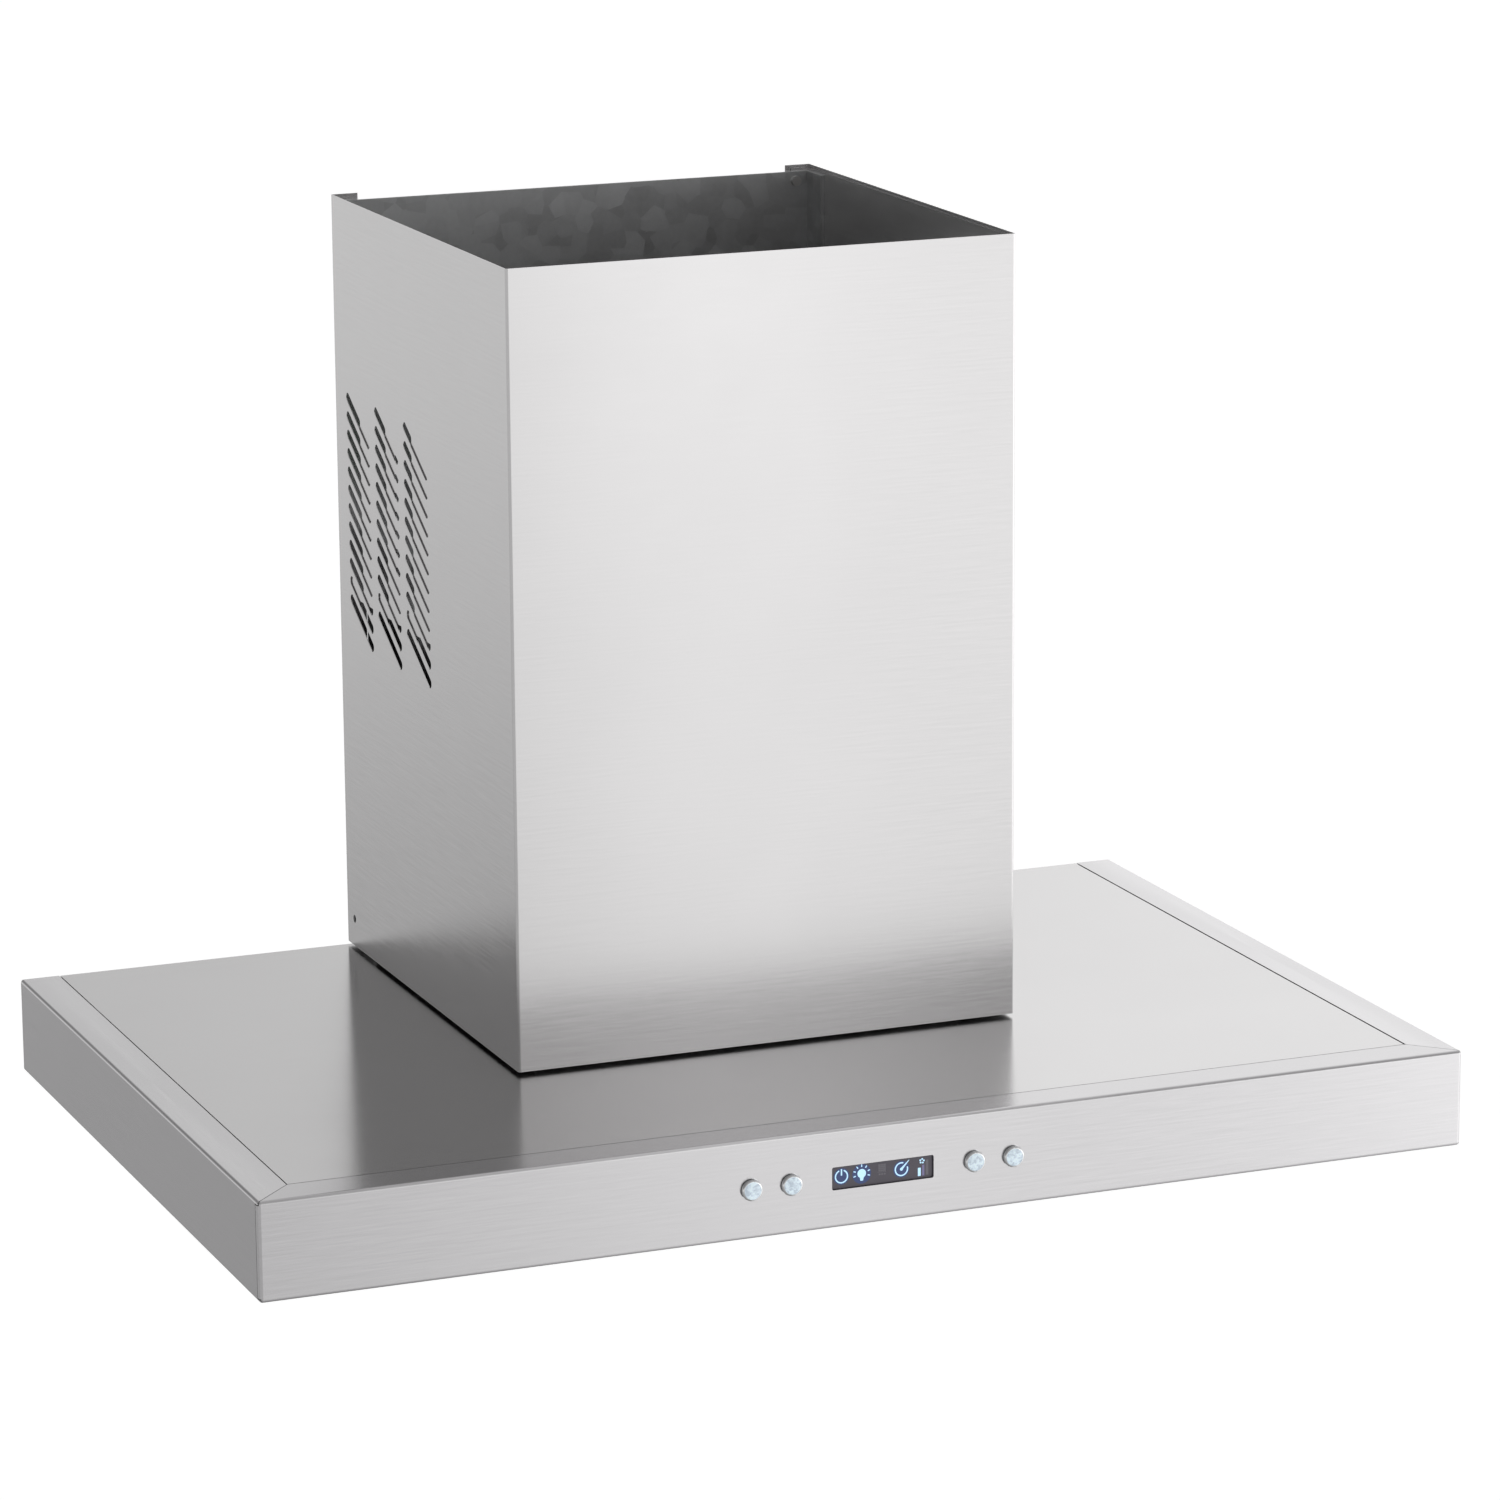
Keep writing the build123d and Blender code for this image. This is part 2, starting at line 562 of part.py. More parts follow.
with BuildPart() as motor_box:
    block((-BOX_HALF, BOX_HALF), (BOX_FRONT, BOX_REAR), (PANEL_TOP, BOX_TOP))
    room_x, room_y = (-BOX_HALF + SHEET, BOX_HALF - SHEET), (BOX_FRONT + SHEET, BOX_REAR + 1)
    block(room_x, room_y, (PANEL_TOP - 1, BOX_TOP - SHEET), Mode.SUBTRACT)
    for sx in SIDES.values():
        flange_x = sorted((sx * (BOX_HALF - SHEET), sx * (BOX_HALF + BOX_FLANGE)))
        block(flange_x, (BOX_FRONT, BOX_REAR), (PANEL_TOP, PANEL_TOP + SHEET))
    for spot in BOX_SCREWS:
        disc(spot, BOX_SCREW_R + 0.1, (PANEL_TOP - 1, PANEL_TOP + 2), Mode.SUBTRACT)
    disc((0, OUTLET_Y), OUTLET_R - OUTLET_WALL, (BOX_TOP - 2, BOX_TOP + 1), Mode.SUBTRACT)
    disc(JUNCTION_CABLE, CABLE_R + 0.2, (BOX_TOP - 2, BOX_TOP + 1), Mode.SUBTRACT)
save(motor_box, "motor_box")

with BuildPart() as box_screws:
    for spot in BOX_SCREWS:
        disc(spot, BOX_SCREW_R, (PANEL_BOTTOM - 5, PANEL_TOP + SHEET))
        disc(spot, 2 * BOX_SCREW_R, (PANEL_TOP + SHEET, PANEL_TOP + SHEET + 2.4))
save(box_screws, "box_screws")

# ---------------------------------------------------------------- blower
SCROLL_STEPS = 24
TONGUE = SCROLL_R0 * math.cos(math.radians(SCROLL_START))  # the throat's front wall, from the shaft


def scroll_point(share, inset):
    """A point on the scroll's spiral, from its tongue (0) round to its outlet (1)."""
    angle = math.radians(SCROLL_START + (360.0 - SCROLL_START) * share)
    radius = SCROLL_R0 + SCROLL_GROWTH * share - inset
    return (radius * math.cos(angle), radius * math.sin(angle))


def scroll_outline(inset=0.0):
    """The scroll and its throat seen along the shaft, or the same outline moved inwards."""
    front, top = TONGUE + inset, SCROLL_TOP - SHAFT_Z
    tip = (front, math.sqrt((SCROLL_R0 - inset) ** 2 - front**2))
    spiral = [tip] + [scroll_point(step / SCROLL_STEPS, inset) for step in range(1, SCROLL_STEPS + 1)]
    with BuildSketch() as outline:
        with BuildLine():
            Spline(*spiral)
            Polyline(spiral[-1], (spiral[-1][0], top), (front, top), tip)
        make_face()
    return outline.sketch


THROAT_FRONT, THROAT_REAR = SHAFT_Y + TONGUE, SHAFT_Y + SCROLL_R0 + SCROLL_GROWTH

with BuildPart() as scroll_wrap:
    with BuildSketch(across(-SCROLL_HALF)):
        add(scroll_outline())
        add(scroll_outline(SHEET), mode=Mode.SUBTRACT)
    extrude(amount=2 * SCROLL_HALF)
    throat_y = (THROAT_FRONT + SHEET, THROAT_REAR - SHEET)
    block((-SCROLL_HALF, SCROLL_HALF), throat_y, (SCROLL_TOP - 4, SCROLL_TOP + 1), Mode.SUBTRACT)
save(scroll_wrap, "scroll_wrap")

with BuildPart() as scroll_side_right:
    with BuildSketch(across(SCROLL_HALF)):
        add(scroll_outline())
        Circle(INLET_R, mode=Mode.SUBTRACT)
    extrude(amount=SHEET)
save(scroll_side_right, "scroll_side_right")
save_mirrored(scroll_side_right, "scroll_side_left")

RING_X = (SCROLL_HALF + SHEET, SCROLL_HALF + SHEET + 3)

with BuildPart() as inlet_rings:
    for x in (RING_X[0], -RING_X[1]):
        with BuildSketch(across(x)):
            Circle(INLET_R + 6)
            Circle(INLET_R, mode=Mode.SUBTRACT)
        extrude(amount=RING_X[1] - RING_X[0])
    fillet(inlet_rings.part.edges().filter_by(GeomType.CIRCLE).group_by(Axis.X)[0], 1.2)
    fillet(inlet_rings.part.edges().filter_by(GeomType.CIRCLE).group_by(Axis.X)[-1], 1.2)
save(inlet_rings, "inlet_rings")

HUB_END = 22.0

with BuildPart() as blower_wheel:
    with BuildSketch(across(-WHEEL_HALF)):
        with PolarLocations(WHEEL_R - 7, BLADES):
            Rectangle(14, 0.8, rotation=35)
    extrude(amount=2 * WHEEL_HALF)
    for x in (-WHEEL_HALF, WHEEL_HALF - 2):
        with BuildSketch(across(x)):
            Circle(WHEEL_R + 1)
            Circle(WHEEL_R - 15, mode=Mode.SUBTRACT)
        extrude(amount=2)
    with BuildSketch(across(0)):
        Circle(WHEEL_R - 8)
    extrude(amount=1.5)
    with BuildSketch(across(0)):
        Circle(12)
    extrude(amount=HUB_END)
    with BuildSketch(across(-1)):
        Circle(SHAFT_R)
    extrude(amount=HUB_END + 2, mode=Mode.SUBTRACT)
save(blower_wheel, "blower_wheel")

SHAFT_X = (-30.0, HUB_END + 2)

with BuildPart() as motor_shaft:
    with BuildSketch(across(SHAFT_X[0])):
        Circle(SHAFT_R)
    extrude(amount=SHAFT_X[1] - SHAFT_X[0])
save(motor_shaft, "motor_shaft")

with BuildPart() as motor_body:
    with BuildSketch(across(MOTOR_X[0])):
        Circle(MOTOR_R)
    extrude(amount=MOTOR_X[1] - MOTOR_X[0])
    fillet(motor_body.part.edges().filter_by(GeomType.CIRCLE), 5)
    with BuildSketch(across(MOTOR_X[0] + 20)):
        Circle(MOTOR_R + 2)
    extrude(amount=22)
    with BuildSketch(across(SHAFT_X[0] - 1)):
        Circle(SHAFT_R + RUNNING)
    extrude(amount=40, mode=Mode.SUBTRACT)
save(motor_body, "motor_body")

MOUNT_R = 80.0  # the grommets' circle

with BuildPart() as motor_bracket:
    with BuildSketch(across(MOTOR_X[0] - 2)):
        Circle(MOTOR_R - 4)
        with PolarLocations(MOUNT_R / 2, 3, start_angle=30):
            Rectangle(MOUNT_R, 14)
        with PolarLocations(MOUNT_R, 3, start_angle=30):
            Circle(7)
        Circle(20, mode=Mode.SUBTRACT)
    extrude(amount=2)
save(motor_bracket, "motor_bracket")

with BuildPart() as motor_grommets:
    with BuildSketch(across(MOTOR_X[0])):
        with PolarLocations(MOUNT_R, 3, start_angle=30):
            Circle(5)
    extrude(amount=-SCROLL_HALF - SHEET - MOTOR_X[0])
save(motor_grommets, "motor_grommets")

with BuildPart() as capacitor:
    disc((112, -35), 16, (100, 150))
    fillet(capacitor.part.edges().filter_by(GeomType.CIRCLE), 2)
    block((128, BOX_HALF - SHEET), (-40, -30), (110, 140))
save(capacitor, "capacitor")

# ---------------------------------------------------------------- duct outlet


def funnel(inset):
    """The loft from the blower's oblong throat to the round outlet."""
    with BuildPart() as body:
        with BuildSketch(Plane(origin=(0, (THROAT_FRONT + THROAT_REAR) / 2, SCROLL_TOP))):
            Rectangle(2 * (SCROLL_HALF - inset), THROAT_REAR - THROAT_FRONT - 2 * inset)
        with BuildSketch(Plane(origin=(0, OUTLET_Y, BOX_TOP - SHEET))):
            Circle(OUTLET_R - inset)
        loft()
    return body.part


with BuildPart() as outlet_transition:
    add(funnel(0))
    add(funnel(OUTLET_WALL), mode=Mode.SUBTRACT)
save(outlet_transition, "outlet_transition")

COLLAR_SCREWS = [(sx * 60.0, OUTLET_Y + sy * 60.0) for sx in (-1, 1) for sy in (-1, 1)]

with BuildPart() as collar_ring:
    disc((0, OUTLET_Y), OUTLET_R + 14, (BOX_TOP, BOX_TOP + 2))
    disc((0, OUTLET_Y), OUTLET_R - OUTLET_WALL, (BOX_TOP - 1, BOX_TOP + 3), Mode.SUBTRACT)
    for spot in COLLAR_SCREWS:
        disc(spot, 2.1, (BOX_TOP - 1, BOX_TOP + 3), Mode.SUBTRACT)
save(collar_ring, "collar_ring")

with BuildPart() as duct_collar:
    disc((0, OUTLET_Y), OUTLET_R, (BOX_TOP + 2, OUTLET_TOP))
    disc((0, OUTLET_Y), OUTLET_R - OUTLET_WALL, (BOX_TOP - 1, OUTLET_TOP + 1), Mode.SUBTRACT)
    block((-OUTLET_R + 1, OUTLET_R - 1), (OUTLET_Y - 1, OUTLET_Y + 1), (FLAP_Z - 6, FLAP_Z + 6))
    for sy in (-1, 1):
        with BuildSketch(across(-OUTLET_R - 1, OUTLET_Y + sy * FLAP_PIN_Y, FLAP_Z)):
            Circle(FLAP_PIN_R + RUNNING)
        extrude(amount=2 * OUTLET_R + 2, mode=Mode.SUBTRACT)
save(duct_collar, "duct_collar")

with BuildPart() as collar_screws:
    for spot in COLLAR_SCREWS:
        disc(spot, 2.0, (BOX_TOP, BOX_TOP + 2))
        disc(spot, 3.8, (BOX_TOP + 2, BOX_TOP + 4.2))
save(collar_screws, "collar_screws")


def make_flap(name, sy):
    """One half-round back-draught flap with the trunnions that it turns on."""
    axis_y = OUTLET_Y + sy * FLAP_PIN_Y
    with BuildPart() as flap:
        disc((0, OUTLET_Y), FLAP_R, (FLAP_Z - 0.6, FLAP_Z + 0.6))
        keep = sorted((axis_y, OUTLET_Y + sy * 2 * OUTLET_R))
        block((-OUTLET_R, OUTLET_R), keep, (FLAP_Z - 2, FLAP_Z + 2), Mode.INTERSECT)
        with BuildSketch(across(-FLAP_R + 1, axis_y, FLAP_Z)):
            Circle(2.4)
        extrude(amount=2 * FLAP_R - 2)
        with BuildSketch(across(-OUTLET_R + 0.6, axis_y, FLAP_Z)):
            Circle(FLAP_PIN_R)
        extrude(amount=2 * OUTLET_R - 1.2)
    save(flap, name)


make_flap("damper_flap_front", -1)
make_flap("damper_flap_rear", 1)

# ---------------------------------------------------------------- electrics
JUNCTION_TOP = BOX_TOP + JUNCTION["height"]
BUSHING = (96.0, -208.0)
BUSHING_R, INLET_BORE = 9.0, 5.0
WALL = 1.5

with BuildPart() as junction_box:
    block(JUNCTION["x"], JUNCTION["y"], (BOX_TOP, JUNCTION_TOP))
    room_x = (JUNCTION["x"][0] + WALL, JUNCTION["x"][1] - WALL)
    room_y = (JUNCTION["y"][0] + WALL, JUNCTION["y"][1] - WALL)
    block(room_x, room_y, (BOX_TOP + WALL, JUNCTION_TOP + 1), Mode.SUBTRACT)
    disc(JUNCTION_CABLE, CABLE_R + 0.2, (BOX_TOP - 1, BOX_TOP + 3), Mode.SUBTRACT)
save(junction_box, "junction_box")

with BuildPart() as junction_lid:
    block(JUNCTION["x"], JUNCTION["y"], (JUNCTION_TOP, JUNCTION_TOP + WALL))
    fillet(junction_lid.part.edges().filter_by(Axis.Z), 1)
    disc(BUSHING, BUSHING_R - 2, (JUNCTION_TOP - 1, JUNCTION_TOP + 3), Mode.SUBTRACT)
save(junction_lid, "junction_lid")

with BuildPart() as terminal_block:
    block((45, 90), (-250, -232), (BOX_TOP + WALL, BOX_TOP + 16))
    for x in (52.5, 67.5, 82.5):
        disc((x, -241), 3.5, (BOX_TOP + 12, BOX_TOP + 17), Mode.SUBTRACT)
save(terminal_block, "terminal_block")

with BuildPart() as cable_bushing:
    lid_top = JUNCTION_TOP + WALL
    disc(BUSHING, BUSHING_R - 2, (JUNCTION_TOP, lid_top))
    disc(BUSHING, BUSHING_R, (lid_top, lid_top + 4))
    disc(BUSHING, INLET_BORE, (JUNCTION_TOP - 1, lid_top + 5), Mode.SUBTRACT)
save(cable_bushing, "cable_bushing")

with BuildPart() as power_board:
    block((-115, -25), (-280, -200), (BOX_TOP + 4, BOX_TOP + 5.6))
    for spot in ((-110, -275), (-110, -205), (-30, -275), (-30, -205)):
        disc(spot, 3, (BOX_TOP, BOX_TOP + 4))
    block((-105, -70), (-265, -235), (BOX_TOP + 5.6, BOX_TOP + 30))
    for x in (-60.0, -44.0):
        block((x, x + 12), (-262, -238), (BOX_TOP + 5.6, BOX_TOP + 20))
    disc((-95, -218), 6, (BOX_TOP + 5.6, BOX_TOP + 24))
save(power_board, "power_board")

CABLE_Z = 42.0

with BuildPart() as control_cable:
    with BuildLine() as cable_path:
        start = (JUNCTION_CABLE[0], BRACKET_Y + SHEET, CABLE_Z)
        corner = (JUNCTION_CABLE[0], JUNCTION_CABLE[1], CABLE_Z)
        FilletPolyline(start, corner, (*JUNCTION_CABLE, BOX_TOP + 8), radius=40)
    with BuildSketch(Plane(origin=start, z_dir=(0, 1, 0))):
        Circle(CABLE_R)
    sweep(path=cable_path.wires()[0])
save(control_cable, "control_cable")
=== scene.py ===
"""The looks of a wall-mounted chimney range hood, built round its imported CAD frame.

Everything is in metres in the frame's own axes: the wall is y = 0, the hood stands out
towards -y, and +z is up. The CAD nodes keep their shapes and get their finishes here. The
only pieces added to them are the display's lit symbols.
"""

import json
import math

import bmesh
import bpy
from mathutils import Matrix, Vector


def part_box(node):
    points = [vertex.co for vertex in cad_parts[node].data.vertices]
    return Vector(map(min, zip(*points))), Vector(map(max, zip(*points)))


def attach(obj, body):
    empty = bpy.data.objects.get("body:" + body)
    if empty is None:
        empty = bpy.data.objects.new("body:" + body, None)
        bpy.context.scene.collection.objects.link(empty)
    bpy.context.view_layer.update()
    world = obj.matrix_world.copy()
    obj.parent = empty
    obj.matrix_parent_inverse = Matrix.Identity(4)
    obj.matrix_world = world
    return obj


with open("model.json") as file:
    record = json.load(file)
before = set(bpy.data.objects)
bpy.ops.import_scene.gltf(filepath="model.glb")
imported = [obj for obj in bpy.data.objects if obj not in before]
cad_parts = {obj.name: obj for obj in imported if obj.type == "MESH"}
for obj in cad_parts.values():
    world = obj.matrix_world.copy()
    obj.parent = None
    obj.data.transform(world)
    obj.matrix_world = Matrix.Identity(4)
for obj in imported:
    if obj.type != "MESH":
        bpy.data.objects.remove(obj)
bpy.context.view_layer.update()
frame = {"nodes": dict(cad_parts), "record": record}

MM = 0.001

# ---------------------------------------------------------------- camera and stage
CAMERA_AT = (-1.335, -3.635, 1.108)
CAMERA_YAW = math.radians(-21.79)
CAMERA_PITCH = math.radians(13.59)
CAMERA_ROLL = math.radians(-0.42)
CAMERA_LENS = 146.5  # in millimetres, as is the sensor's width
CAMERA_SENSOR = 36.0
CAMERA_REACH = 300.0  # past the floor's far corners
FLOOR_Z = -2.6  # well below the hood, clear of views from underneath
FLOOR_SIZE = 160.0
FLOOR_GLOW = 0.5


# ---------------------------------------------------------------- node helpers
class Tree:
    """A node tree, with short ways to add and join its nodes."""

    def __init__(self, tree, coordinates):
        self.tree = tree
        self.coords = self.node("ShaderNodeTexCoord").outputs[coordinates]

    def node(self, kind, inputs=None, **settings):
        made = self.tree.nodes.new(kind)
        for key, value in settings.items():
            setattr(made, key, value)
        for key, value in (inputs or {}).items():
            self.feed(made.inputs[key], value)
        return made

    def feed(self, socket, value):
        """Sets a socket, or links it when the value is another node's output."""
        if isinstance(value, bpy.types.NodeSocket):
            self.tree.links.new(value, socket)
        else:
            socket.default_value = value

    def math(self, operation, a, b=0.0):
        return self.node("ShaderNodeMath", {0: a, 1: b}, operation=operation).outputs[0]

    def split(self, vector):
        """A vector's x, y and z."""
        return self.node("ShaderNodeSeparateXYZ", {0: vector}).outputs

    def join(self, x, y, z=0.0):
        return self.node("ShaderNodeCombineXYZ", {0: x, 1: y, 2: z}).outputs[0]

    def mixed(self, factor, first, second):
        """A value that goes from the first to the second as the factor goes from 0 to 1."""
        rest = self.math("SUBTRACT", 1.0, factor)
        shares = self.math("MULTIPLY", first, rest), self.math("MULTIPLY", second, factor)
        return self.math("ADD", *shares)


class Finish(Tree):
    """A material, laid out in the coordinates of the frame."""

    NOISE_ROUGHNESS = 0.6

    def __init__(self, name):
        self.material = bpy.data.materials.new(name)
        self.material.use_nodes = True
        super().__init__(self.material.node_tree, "Object")
        self.surface = self.tree.nodes["Principled BSDF"]

    def set(self, **values):
        """Sets or links the surface's sockets, with an underscore for each space in a name."""
        for key, value in values.items():
            self.feed(self.surface.inputs[key.replace("_", " ")], value)

    def noise(self, scale, detail=3.0, vector=None):
        inputs = {
            "Vector": self.coords if vector is None else vector,
            "Scale": scale,
            "Detail": detail,
            "Roughness": self.NOISE_ROUGHNESS,
        }
        return self.node("ShaderNodeTexNoise", inputs).outputs["Fac"]

    def between(self, factor, low, high, start=0.0, end=1.0):
        """Turns a factor's range start..end into low..high."""
        inputs = {
            "Value": factor,
            "From Min": start,
            "From Max": end,
            "To Min": low,
            "To Max": high,
        }
        return self.node("ShaderNodeMapRange", inputs).outputs["Result"]

    def blend(self, factor, first, second):
        """A colour that goes from the first to the second."""
        mix = self.node("ShaderNodeMix", {"Factor": factor}, data_type="RGBA")
        # The colour sockets share their names with those for numbers and vectors.
        self.feed(mix.inputs[6], first)
        self.feed(mix.inputs[7], second)
        return mix.outputs[2]

    def bump(self, height, strength, distance):
        inputs = {"Height": height, "Strength": strength, "Distance": distance}
        self.set(Normal=self.node("ShaderNodeBump", inputs).outputs["Normal"])


def grey(value, warmth=0.0):
    """A neutral colour, a little warmer or cooler."""
    return (value * (1 + warmth), value, value * (1 - warmth), 1.0)


def shaded(colour, factor):
    """A colour made lighter or darker, with its alpha."""
    return tuple(min(1.0, channel * factor) for channel in colour) + (1.0,)


# ---------------------------------------------------------------- materials
STREAK = 0.032  # how far a brushed sheet's strokes go above and below its colour
STROKE = {"length": 0.05, "width": 0.0016}
HAIR = {"length": 0.02, "width": 0.0006}
HAIR_SHARE = 0.4
SIDE_NORMAL = 0.7  # a face is on a side where its normal's x is past this


def brushed(name, colour, roughness, anisotropy, lengthwise=False):
    """Brushed sheet: along the hood on its front and top and front to back on its sides, or
    front to back all over where the piece runs lengthwise from the wall to the cook."""
    g = Finish(name)
    x, y, z = g.split(g.coords)
    # The tangent lies across the strokes.
    if lengthwise:
        along, across = y, g.math("ADD", x, z)
        tangent = (1.0, 0.0, 1.0)
    else:
        normal_x = g.split(g.node("ShaderNodeNewGeometry").outputs["Normal"])[0]
        side = g.math("GREATER_THAN", g.math("ABSOLUTE", normal_x), SIDE_NORMAL)
        along = g.mixed(side, x, y)
        across = g.math("ADD", z, g.mixed(side, y, x))
        tangent = g.join(0.0, g.math("SUBTRACT", 1.0, side), 1.0)

    def strokes(length, width):
        """Noise stretched into strokes of about this length and width."""
        scaled = g.math("MULTIPLY", along, 1 / length), g.math("MULTIPLY", across, 1 / width)
        return g.noise(scale=1.0, detail=2.0, vector=g.join(*scaled))

    grain = g.mixed(HAIR_SHARE, strokes(**STROKE), strokes(**HAIR))
    handling = g.noise(scale=5.0)
    fine = g.between(grain, 0, 1, start=0.35, end=0.65)
    from_strokes = g.between(fine, roughness - 0.02, roughness + 0.02)
    from_handling = g.between(handling, -0.012, 0.012, start=0.3, end=0.7)
    g.set(
        Base_Color=g.blend(fine, shaded(colour, 1 - STREAK), shaded(colour, 1 + STREAK)),
        Metallic=1.0,
        Roughness=g.math("ADD", from_strokes, from_handling),
        Anisotropic=anisotropy,
        Tangent=tangent,
    )
    g.bump(grain, strength=0.03, distance=0.03 * MM)
    return g.material


def galvanised(name):
    """Zinc-coated sheet with its large soft crystals."""
    g = Finish(name)
    cell_inputs = {"Vector": g.coords, "Scale": 90.0, "Randomness": 1.0}
    cells = g.node("ShaderNodeTexVoronoi", cell_inputs).outputs["Color"]
    fine = g.noise(scale=260.0, detail=4.0)
    shade = g.mixed(0.4, cells, fine)
    g.set(
        Base_Color=g.blend(shade, grey(0.42, warmth=-0.01), grey(0.62, warmth=-0.01)),
        Metallic=1.0,
        Roughness=g.between(shade, 0.3, 0.48),
    )
    g.bump(fine, strength=0.08, distance=0.2 * MM)
    return g.material


def satin_metal(name, tone, roughness, warmth=0.0, scale=900.0):
    """Cast, drawn or ground metal with a fine even tooth."""
    g = Finish(name)
    tooth, patches = g.noise(scale, detail=2.0), g.noise(scale=24.0)
    g.set(
        Base_Color=g.blend(patches, grey(tone * 0.93, warmth), grey(tone * 1.05, warmth)),
        Metallic=1.0,
        Roughness=g.between(tooth, roughness - 0.05, roughness + 0.07),
    )
    g.bump(tooth, strength=0.06, distance=0.1 * MM)
    return g.material


def moulded(name, colour, roughness, scale=1400.0, coat=0.0):
    """Moulded plastic, rubber or paint with a fine spark-eroded texture."""
    g = Finish(name)
    fine, broad = g.noise(scale, detail=2.0), g.noise(scale=30.0)
    g.set(
        Base_Color=g.blend(broad, shaded(colour, 0.85), shaded(colour, 1.12)),
        Roughness=g.between(fine, roughness - 0.06, roughness + 0.08),
        Coat_Weight=coat,
    )
    g.bump(fine, strength=0.12, distance=0.05 * MM)
    return g.material


def polished_chrome(name):
    """Bright plating, with the faint haze of handling."""
    g = Finish(name)
    haze = g.noise(scale=300.0, detail=4.0)
    g.set(
        Base_Color=g.blend(haze, grey(0.72, warmth=-0.01), grey(0.8, warmth=-0.01)),
        Metallic=1.0,
        Roughness=g.between(haze, 0.05, 0.14, start=0.3, end=0.7),
    )
    return g.material


def circuit_board(name):
    """Green solder mask over a grid of tracks."""
    g = Finish(name)
    track_inputs = {"Vector": g.coords, "Scale": 90.0, "Mortar Size": 0.03}
    tracks = g.node("ShaderNodeTexBrick", track_inputs).outputs["Fac"]
    speck = g.noise(scale=500.0)
    g.set(
        Base_Color=g.blend(tracks, (0.01, 0.1, 0.035, 1), (0.03, 0.2, 0.06, 1)),
        Roughness=g.between(speck, 0.3, 0.45),
        Coat_Weight=0.4,
    )
    g.bump(tracks, strength=0.2, distance=0.1 * MM)
    return g.material


def lit_lens(name, colour, glow):
    """A translucent key face lit evenly from behind, with painted blotches of pale highlight."""
    g = Finish(name)
    cloud = g.noise(scale=420.0)
    # Painted highlight: soft blotches make the lens's colour paler and darker, standing in for
    # its white highlights, in both its colour and its glow.
    painted_highlight_blotches = g.between(cloud, 0, 1, start=0.4, end=0.6)
    lens_tint_and_painted_highlights = g.blend(painted_highlight_blotches, shaded(colour, 0.8), shaded(colour, 1.2))
    g.set(
        Base_Color=lens_tint_and_painted_highlights,
        Roughness=g.between(cloud, 0.22, 0.34),
        Coat_Weight=0.5,
        Emission_Color=lens_tint_and_painted_highlights,
        Emission_Strength=glow,
    )
    g.bump(cloud, strength=0.1, distance=0.05 * MM)
    return g.material


def smoked_window(name):
    """The dark plum-grey face of the display, unlit."""
    g = Finish(name)
    cloud = g.noise(scale=60.0)
    g.set(
        Base_Color=g.blend(cloud, (0.06, 0.052, 0.07, 1), (0.085, 0.075, 0.098, 1)),
        Roughness=g.between(cloud, 0.25, 0.4),
        Coat_Weight=0.3,
    )
    return g.material


def lit_segments(name, colour, strength):
    """Lit segments, a little uneven like a real backlight."""
    g = Finish(name)
    uneven = g.noise(scale=700.0, detail=2.0)
    g.set(
        Base_Color=(0.02, 0.02, 0.03, 1.0),
        Roughness=0.5,
        Emission_Color=g.blend(uneven, shaded(colour, 0.85), shaded(colour, 1.0)),
        Emission_Strength=strength,
    )
    return g.material


def frosted_glass(name):
    """The lamps' diffusing glass."""
    g = Finish(name)
    frost = g.noise(scale=900.0)
    g.set(
        Base_Color=g.blend(frost, (0.86, 0.88, 0.86, 1), (0.95, 0.96, 0.94, 1)),
        Roughness=g.between(frost, 0.35, 0.5),
        Transmission_Weight=0.6,
        IOR=1.5,
    )
    g.bump(frost, strength=0.25, distance=0.1 * MM)
    return g.material


STEEL = (0.624, 0.616, 0.618)
FASCIA = {"colour": (0.622, 0.613, 0.622), "roughness": 0.22}
FINISHES = {
    "stainless": (brushed, {"colour": STEEL, "roughness": 0.19, "anisotropy": 0.85}),
    "fascia_steel": (brushed, {**FASCIA, "anisotropy": 0.8}),
    "inner_steel": (galvanised, {}),
    "screw_steel": (satin_metal, {"tone": 0.6, "roughness": 0.3, "warmth": 0.02}),
    "shaft_steel": (satin_metal, {"tone": 0.55, "roughness": 0.2}),
    "filter_aluminium": (satin_metal, {"tone": 0.68, "roughness": 0.32, "scale": 1800.0}),
    "latch_plastic": (moulded, {"colour": (0.03, 0.03, 0.032), "roughness": 0.45}),
    "chrome": (polished_chrome, {}),
    "button_lens": (lit_lens, {"colour": (0.66, 0.77, 0.88), "glow": 0.12}),
    "window": (smoked_window, {}),
    "display": (moulded, {"colour": (0.012, 0.011, 0.014), "roughness": 0.5}),
    "board": (circuit_board, {}),
    "black_plastic": (moulded, {"colour": (0.025, 0.025, 0.026), "roughness": 0.5}),
    "motor_paint": (
        moulded,
        {"colour": (0.02, 0.02, 0.022), "roughness": 0.35, "scale": 500.0, "coat": 0.2},
    ),
    "capacitor_can": (satin_metal, {"tone": 0.66, "roughness": 0.25}),
    "rubber": (moulded, {"colour": (0.02, 0.02, 0.02), "roughness": 0.7}),
    "cable_jacket": (
        moulded,
        {"colour": (0.05, 0.05, 0.052), "roughness": 0.55, "scale": 700.0},
    ),
    "lamp_glass": (frosted_glass, {}),
}
MATERIALS = {name: make(name, **settings) for name, (make, settings) in FINISHES.items()}

# The side fascias are the same sheet as the front one, brushed along their own length.
SIDE_FASCIA = brushed("side_fascia_steel", **FASCIA, anisotropy=0.45, lengthwise=True)
OWN_MATERIALS = {"left_fascia": SIDE_FASCIA, "right_fascia": SIDE_FASCIA}


